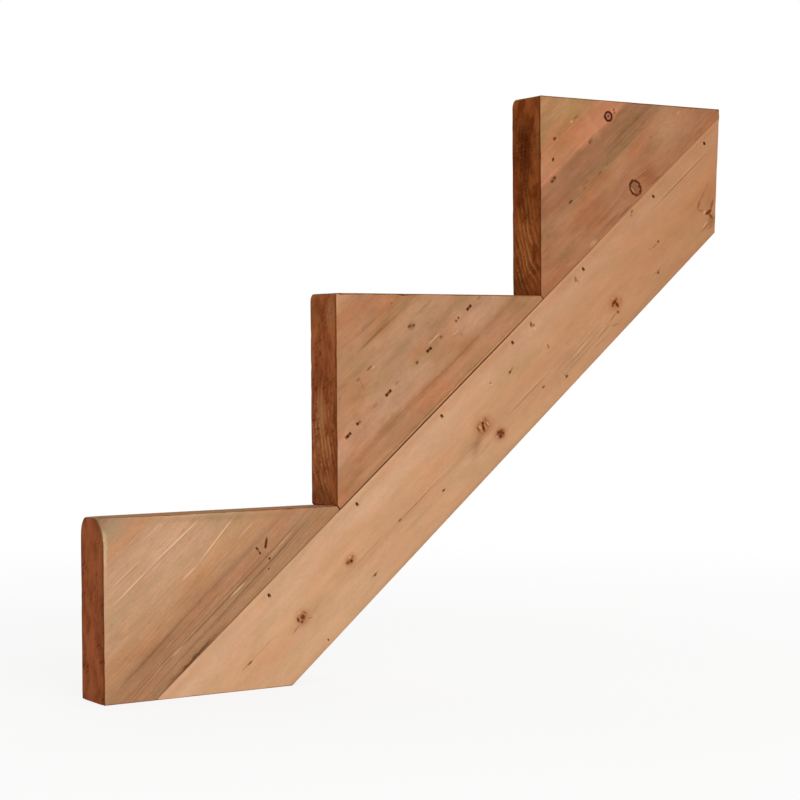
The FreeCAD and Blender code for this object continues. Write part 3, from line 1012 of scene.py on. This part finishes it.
LOWER_WOOD = Softwood(
    name="planed_lower_block_softwood",
    bands=((-6, "#AA7E5A"), (0, "#AE815E"), (8, "#B18463"), (28, "#AE805E"), (34, "#B18461"), (42, "#BB8B64"),
           (60, "#C0936F"), (75, "#C69B79"), (105, "#C69B79"), (120, "#BF926E"), (135, "#AE8968"),
           (149, "#A98464")),
    seam_shade=((-40, 0.2), (12, 0.5), (100, 0.45), (236, 0.45), (830, 0.5)),
    pith=(100.0, 70.0, 108.0), line_contrast=0.12, seed=2.0, slope=0.035, fibre=0.9, blotch=0.7, flecks=0.8,
    line_spots=(Spot(90, 14, 170, 30, WHITE, 0.5, 2.0, 0.5, 60.0),
                Spot(20, 33, 60, 5, WHITE, 0.5, 2.0, 0.8, 60.0)),
    sawn_light="#AE6139", sawn_dark="#8C4828", sawn_rings=0.0,
    spots=(
        # Pale resin streaks with fine dark lines beside them.
        stroke(46, 87.9, 29, 0.9, "#E0BF9B", 0.75, 1.5), stroke(101, 88.4, 40, 0.9, "#E0BF9B", 0.8, -1.2),
        stroke(84, 86.6, 50, 0.6, "#A17A58", 0.5), stroke(92, 59.6, 12, 0.9, "#E0BF9B", 0.7),
        stroke(131, 63.8, 34, 0.9, "#E0BF9B", 0.75, 8), stroke(126, 61.4, 30, 0.6, "#A17A58", 0.5, 8),
        stroke(48, 99.4, 24, 0.8, "#D8B48E", 0.6), stroke(50, 97.8, 22, 0.5, "#9A7656", 0.5),
        stroke(73, 118, 17, 0.7, "#94704F", 0.6, 2), stroke(70, 114.2, 14, 0.6, "#94704F", 0.5),
        stroke(88, 110, 14, 0.7, "#D8B48E", 0.5), stroke(95, 125, 12, 0.6, "#94704F", 0.5),
        stroke(30, 54, 22, 0.7, "#A57C58", 0.5, 2), stroke(155, 50.5, 14, 0.8, "#D8B48E", 0.55, 3),
        stroke(41, 16.8, 10, 0.9, "#D2AC86", 0.7), stroke(116, 16.8, 12, 0.9, "#D8B48E", 0.8),
        stroke(178, 18, 12, 0.7, "#C9A27C", 0.6, 2), stroke(168, 13.5, 22, 0.7, "#75502F", 0.6, 3),
        # Bark pocket and its dots.
        stroke(153, 31, 1.5, 2.2, "#522408", 1), stroke(152.6, 25.8, 1.7, 1.6, "#582A0A", 1),
        stroke(152.8, 28.5, 1, 3, "#6A4020", 0.8), stroke(163, 28.8, 6.6, 1.8, "#5E2E0C", 1, 41),
        stroke(160.4, 26.6, 2.6, 1.8, "#4E2208", 0.95, 41), stroke(156.5, 15.9, 1.8, 1.3, "#522408", 1),
        stroke(150, 9.6, 1.3, 1.1, "#5E2E0C", 0.95),
        # Stains at the seam, under the tread and at the tip, and a pale painted highlight along the riser's
        # near edge.
        Spot(48, 1.5, 52, 3.6, "#4E2408", 0.85, 1, 1), Spot(147, 73, 112, 5, "#8E7050", 0.45, -39.9, 1),
        stroke(120, 0.2, 44, 0.9, "#7A4824", 0.4), Spot(18, 32, 40, 5, "#876040", 0.6, 2, 1),
        Spot(142, 75, 16, 9, "#9C8264", 0.5, 0, 1), Spot(8, 65, 14, 6, "#9C7E60", 0.5, 0, 1),
        Spot(10, 12, 24, 8, "#B0714E", 0.4, 0, 1), Spot(66, 138, 17, 15, "#A58E6E", 0.7, 0, 0.9),
        Spot(61, 147, 3, 1.6, "#6E5A38", 0.9, 40), Spot(57, 146, 3.4, 1.5, "#CDB890", 0.8, 40),
        # Painted highlight: a pale strip along the near edge of the riser.
        Spot(48, 127, 34, 2.6, "#CDB690", 0.75, 50, 0.8),
        # Blots on the riser.
        riser_spot(0, -18, 70, 4, 50, "#6A3418", 0.4), riser_spot(0, 8, 100, 14, 40, "#A45A30", 0.3),
    ),
)

MIDDLE_WOOD = Softwood(
    name="planed_middle_block_softwood",
    bands=((0, "#A97854"), (6, "#B07D59"), (15, "#B4825F"), (22, "#AB7A57"), (28, "#B88968"), (42, "#BA8C6E"),
           (55, "#B38765"), (85, "#B38664"), (94, "#AC7D5A"), (98, "#B1835F"), (110, "#AF7C59"),
           (130, "#AF7C59"), (148, "#B98A69")),
    # Painted shade: the seam line is strongest where the seam stands open, for the shade in the gap.
    seam_shade=((-40, 0.75), (260, 0.75), (330, 1.0), (470, 0.9), (490, 0.5), (830, 0.5)),
    pith=(380.0, -80.0, 72.0), line_contrast=0.1, seed=3.0, fibre=0.6, blotch=1.1,
    line_spots=(Spot(370, 21, 110, 3, WHITE, 0.4), Spot(390, 96, 70, 4, WHITE, 0.4)),
    sawn_light="#B3673A", sawn_dark="#8C4722", sawn_stroke="#C28654", sawn_rings=0.15,
    ring_spots=(riser_spot(1, 3, 212, 30, 66, WHITE, 1.5),),
    spots=(
        # Rows of short nicks from the planer.
        dash(284.7, 44.3, 4.4, "#643A1A", 0.95), dash(284, 44, 1.6), dash(288, 44.4, 0.9),
        dash(300.6, 45.7, 3.4, "#7A5030", 0.8), dash(298.9, 45.9, 1.3),
        dash(323.5, 46, 3.6, "#8A6442", 0.5), dash(341.2, 45.5, 4.6, "#643A1A", 0.95),
        dash(338.6, 45.2, 1.4), dash(344.3, 45.8, 1.2), dash(354, 46.5, 3, "#8A6442", 0.5),
        dash(382.4, 46.5, 2, "#6A4020", 0.9), dash(399.8, 47, 4, "#643A1A", 0.95), dash(397.8, 47, 1.5),
        dash(402.2, 46.7, 1.3), dash(417.4, 47.4, 1.9, "#74492A", 0.8),
        dash(439.7, 48, 1.2, "#643A1A", 0.9), dash(443.4, 48.4, 1.2, "#6A4020", 0.9),
        dash(458.4, 48.2, 4.2, "#643A1A", 0.9), dash(456.4, 48, 1.4), dash(460.8, 48.4, 1.3),
        dash(473, 47.8, 2.4, "#8A6442", 0.6), dash(397.4, 76.8, 2, "#5E3618", 0.9),
        dash(401.2, 74.4, 1.9, "#6A4020", 0.9),
        # Blots, scuffs and lines.
        Spot(399, 75.5, 6.4, 5, "#764C2C", 0.9, 0, 1), Spot(396, 105, 3, 1.4, "#7E5433", 0.8, 0, 0.9),
        Spot(300, 75, 3.4, 1.6, "#8C6746", 0.6), Spot(326, 72.5, 1.4, 5.2, "#94704E", 0.6, 0, 0.9),
        stroke(340.5, 75.6, 5.4, 1.5, "#7E5633", 0.85), stroke(344, 73.4, 3.4, 0.9, "#CDAA84", 0.6),
        stroke(325, 75.4, 3.6, 2.2, "#8C6442", 0.75), stroke(324.6, 67.5, 1.1, 3.6, "#8C6442", 0.6),
        Spot(436, 34, 1.8, 3.4, "#946A48", 0.6, 0, 0.9), Spot(411, 51, 10, 1.2, "#CFAE88", 0.7),
        Spot(433, 40, 5, 1.1, "#CFA882", 0.7), Spot(371, 94, 22, 1.1, "#835838", 0.8, 0, 0.9),
        Spot(421, 80, 19, 0.9, "#8E6444", 0.6), Spot(385, 3.4, 150, 0.7, "#7A4E30", 0.4),
        Spot(385, 1.7, 150, 0.6, "#C79A72", 0.6), Spot(347, 138, 10, 11, "#C8A27E", 0.35, 0, 1),
        # Blots on the riser.
        riser_spot(1, -14, 325, 12, 20, "#B87C54", 0.7), riser_spot(1, 6, 270, 20, 24, "#823C1C", 0.7),
        riser_spot(1, 0, 164, 28, 12, "#70401C", 0.6), riser_spot(1, 14, 330, 9, 13, "#8E5E38", 0.5),
        riser_spot(1, 6, 235, 12, 26, "#BE8456", 0.6), riser_spot(1, -19, 235, 5, 34, "#6A3214", 0.8),
        # Pale heel and the long lines.
        Spot(280, 6, 34, 5, "#C49A74", 0.45, 0, 1), stroke(365, 105.5, 28, 0.9, "#8E6444", 0.6),
        stroke(362, 94.8, 26, 0.8, "#7E5434", 0.7, 2), stroke(372, 93.2, 42, 0.8, "#845A38", 0.7, -1),
    ),
)

UPPER_WOOD = Softwood(
    name="planed_upper_block_softwood",
    bands=((0, "#A26F4E"), (12, "#A47150"), (30, "#A47150"), (44, "#A87653"), (50, "#9F7452"),
           (58, "#9D6D4F"), (76, "#9D6D4F"), (80, "#A87354"), (84, "#C0805F"), (100, "#B57E5A"),
           (115, "#AA7D55"), (130, "#AC8058"), (148, "#AD7F5A")),
    seam_shade=((-40, 0.45), (604, 0.45), (618, 0.08), (715, 0.08), (730, 0.2), (830, 0.25)),
    pith=(680.0, -95.0, 94.0), line_contrast=0.13, seed=4.0, fibre=0.7, blotch=1.2,
    line_spots=(Spot(720, 58, 60, 14, WHITE, 0.4),),
    sawn_light="#A05627", sawn_dark="#743611", sawn_stroke="#BC7B48", sawn_rings=0.1,
    ring_spots=(riser_spot(2, 0, 386, 30, 66, WHITE, 1.0),),
    knots=(
        Knot(703, 84.8, 4.2, 4.2, "#8E604C", "#421404", opacity=0.8, ring_strength=1.0, ring_width=0.4,
             halo=0.2, ragged=0.15),
        Knot(685.2, 12, 6.0, 7.4, "#85563C", "#44200A", opacity=0.85, ring_strength=0.9, ring_width=0.3,
             halo=0.35, ragged=0.3),
    ),
    spots=(
        # Small ringed knot.
        stroke(703.2, 85, 1.7, 1.7, "#5E3424", 0.9), stroke(699.6, 85.6, 1.4, 3.4, "#380E04", 0.8, -12),
        stroke(712.5, 85.6, 2.4, 1.5, "#784426", 0.85, 30), stroke(711, 82.8, 3, 1.3, "#784426", 0.8),
        # Larger knot, the stain that runs from it, and a pale painted highlight on the ring's inner edge.
        stroke(684.8, 19.4, 4.6, 1.2, "#4A280C", 0.85), stroke(678.9, 11.4, 1.2, 5, "#4A280C", 0.85),
        stroke(689.4, 10.2, 1.3, 2, "#52260A", 0.9), stroke(690.2, 16, 1.8, 1.6, "#54301A", 0.85),
        stroke(683.4, 12.2, 1.6, 1.3, "#96553A", 0.75), stroke(681, 12.4, 0.8, 4.8, "#C89E78", 0.65),
        stroke(684, 4.6, 4.4, 1.3, "#8A4E30", 0.8, 8), Spot(706, 9, 17, 9, "#86543A", 0.6, 3, 1),
        stroke(700, 16.4, 12, 0.9, "#75482E", 0.7, -5), stroke(704, 13.6, 10, 0.8, "#75482E", 0.6, -8),
        stroke(710, 2.4, 11, 1.6, "#7A4A2E", 0.65), stroke(660, 2.4, 14, 1.2, "#6E4228", 0.65),
        stroke(640, 5.6, 16, 2, "#8A5638", 0.5),
        # Nicks and dots.
        dash(609.3, 78.3, 1.9), dash(613.6, 79.2, 1.9), Spot(611, 78.8, 6.4, 4.2, "#6E4628", 0.8, 0, 1),
        stroke(623.4, 93.4, 2.8, 2, "#5A3216", 1, 35), dash(637.5, 107.3, 2.4, "#5A3618", 0.95),
        stroke(613.4, 108.2, 3.4, 1.6, "#6A4424", 0.85), stroke(644, 108, 3.6, 0.9, "#8A6240", 0.6),
        stroke(664, 107.5, 1.5, 1.4, "#D2AE88", 0.8), stroke(671, 107.6, 5, 1.1, "#74502E", 0.8),
        Spot(671, 80, 4.6, 3.4, "#745032", 0.8, 0, 0.9), stroke(668.6, 79, 1.6, 2.4, "#6A4426", 0.8),
        stroke(614, 50.2, 4.2, 1.7, "#5E3618", 0.95), stroke(636, 49.6, 4, 1.2, "#7A5233", 0.6),
        stroke(672, 50.4, 2, 1.4, "#7A5233", 0.7), dash(660, 49.5, 3.6, "#7A5233", 0.6),
        Spot(640, 53, 8, 1.2, "#7A5233", 0.5),
        # Blots and broad stains.
        Spot(732.5, 38, 1.9, 1.6, "#6B4528"), Spot(776, 35, 5, 1.6, "#CDAA86", 0.7, 0, 0.9),
        Spot(610, 3, 8, 4, "#C09570", 0.6, 0, 1), Spot(730, 54, 48, 1.2, "#75502F", 0.6),
        Spot(722, 78, 22, 3.2, "#84583A", 0.6, -7, 0.9), Spot(681, 92, 6, 28, "#B98D64", 0.4, 0, 1),
        Spot(755, 35, 44, 28, "#B88B68", 0.65, 0, 1), Spot(648, 2, 22, 4, "#8A593C", 0.45, 0, 1),
        # Blots on the riser.
        riser_spot(2, 4, 484, 24, 46, "#501D03", 0.97), riser_spot(2, 5, 440, 14, 38, "#582104", 0.8),
        riser_spot(2, 18, 450, 6, 60, "#7E2E0C", 0.7), riser_spot(2, -19, 495, 6, 40, "#9A6234", 0.6),
        riser_spot(2, 8, 356, 10, 10, "#54270F", 0.7),
    ),
)


@dataclass
class Studio:
    """Plain floor, soft light and the camera that took the photograph, in metres."""

    image: int = 800
    sensor: float = 36.0
    focal_pixels: float = 2010.7
    camera_place: tuple[float, float, float] = (-0.77351, -1.54692, 0.28819)
    azimuth: float = -32.616
    elevation: float = 1.294
    roll: float = -0.396
    clip: tuple[float, float] = (0.05, 60.0)
    floor_half: float = 12.0
    floor_drop: float = 0.2 * MM
    floor_colour: str = "#F4F3F1"
    floor_glow: float = 0.84
    glow_span: tuple[float, float] = (0.5, 1.4)
    world_level: float = 0.51
    lamp_aim: tuple[float, float, float] = (0.25, 0.0, 0.25)

    def build(self) -> None:
        """Make the floor, the light and the camera."""
        self.make_world()
        self.make_floor()
        self.make_lamps()
        self.make_camera()
        bpy.context.scene.view_settings.view_transform = "Standard"
        LOG.info("studio ready")

    def make_world(self) -> None:
        """White to the eye and in reflections, plain soft light for everything else."""
        world = bpy.data.worlds.new("studio_air")
        world.use_nodes = True
        tree = world.node_tree
        tree.nodes.clear()
        level = add_node(tree, "MapRange", {0: self.seen_rays(tree), 3: self.world_level, 4: 1.0})
        light = add_node(tree, "Background", {"Color": hex_to_linear(WHITE), "Strength": level})
        add_node(tree, "OutputWorld", {"Surface": light})
        bpy.context.scene.world = world

    def seen_rays(self, tree: bpy.types.NodeTree) -> Socket:
        """One for rays that the eye follows: straight, mirrored or through glass.

        Args:
            tree: Node tree of the floor or the world.

        Returns:
            1 for such a ray, 0 for others.
        """
        camera = add_node(tree, "LightPath", {}, output=0)
        rays = camera.node.outputs
        both = add_node(tree, "Math", {0: camera, 1: rays["Is Glossy Ray"]}, operation="MAXIMUM")
        return add_node(tree, "Math", {0: both, 1: rays["Is Transmission Ray"]}, operation="MAXIMUM")

    def make_floor(self) -> None:
        """A wide pale floor that keeps the shadow near the object and turns white further out."""
        size = self.floor_half
        mesh = bpy.data.meshes.new("floor")
        corners = [(-size, -size, 0), (size, -size, 0), (size, size, 0), (-size, size, 0)]
        mesh.from_pydata(corners, [], [(0, 1, 2, 3)])
        floor = bpy.data.objects.new("floor", mesh)
        floor.location.z = -self.floor_drop
        bpy.context.scene.collection.objects.link(floor)
        material = new_material("pale_matt_floor")
        tree = material.node_tree
        matt = add_node(tree, "BsdfDiffuse", {"Color": hex_to_linear(self.floor_colour)})
        glow = add_node(tree, "Emission", {"Color": hex_to_linear(WHITE), "Strength": 1.0})
        place = add_node(tree, "TexCoord", {}, output=3)
        away = add_node(tree, "VectorMath", {0: place}, output=1, operation="LENGTH")
        fade = add_node(tree, "MapRange", {
            0: away, 1: self.glow_span[0], 2: self.glow_span[1], 3: self.floor_glow, 4: 1.0,
        })
        share = add_node(tree, "Math", {0: fade, 1: self.seen_rays(tree)}, operation="MULTIPLY")
        surface = add_node(tree, "MixShader", {0: share, 1: matt, 2: glow})
        add_node(tree, "OutputMaterial", {"Surface": surface})
        mesh.materials.append(material)

    def make_lamps(self) -> None:
        """A large soft key in front and above, and a weak fill from behind."""
        aim = Vector(self.lamp_aim)
        for name, place, width, power in (
            ("key", Vector((0.0, -2.0, 0.9)), 1.4, 23.5),
            ("back_fill", Vector((0.9, 2.4, 1.6)), 2.0, 18.0),
        ):
            lamp = bpy.data.lights.new(name, "AREA")
            lamp.shape = "SQUARE"
            lamp.size = width
            lamp.energy = power
            item = bpy.data.objects.new(name, lamp)
            item.location = place
            item.rotation_mode = "QUATERNION"
            item.rotation_quaternion = (aim - place).to_track_quat("-Z", "Y")
            bpy.context.scene.collection.objects.link(item)

    def make_camera(self) -> None:
        """Stand the camera where the photograph was taken."""
        lens = bpy.data.cameras.new("camera")
        lens.sensor_width = self.sensor
        lens.sensor_fit = "HORIZONTAL"
        lens.lens = self.focal_pixels * self.sensor / self.image
        lens.clip_start, lens.clip_end = self.clip
        turn, tip = math.radians(self.azimuth), math.radians(self.elevation)
        back = Vector((math.sin(turn) * math.cos(tip), -math.cos(turn) * math.cos(tip), math.sin(tip)))
        level = (-back).to_track_quat("-Z", "Y").to_matrix()
        rolled = level @ Matrix.Rotation(math.radians(self.roll), 3, "Z")
        camera = bpy.data.objects.new("camera", lens)
        camera.matrix_world = Matrix.Translation(self.camera_place) @ rolled.to_4x4()
        bpy.context.scene.collection.objects.link(camera)
        bpy.context.scene.camera = camera


def main() -> None:
    """Build and dress every piece, then the studio."""
    logging.basicConfig(level=logging.INFO, format="%(name)s: %(message)s")
    boards = [
        Board("carriage_plank", "plank_wood", PLANK_WOOD),
        Board("lower_step_block", "lower_block_wood", LOWER_WOOD, tread_drop=1.6, tip_round=12.0,
              near_tip_round=20.0),
        Board("middle_step_block", "middle_block_wood", MIDDLE_WOOD, tread_wear=1.8),
        Board("upper_step_block", "upper_block_wood", UPPER_WOOD, tread_wear=1.8),
    ]
    for board in boards:
        board.build()
        board.dress()
    ToeNails().dress()
    Studio().build()


if __name__ == "__main__":
    main()
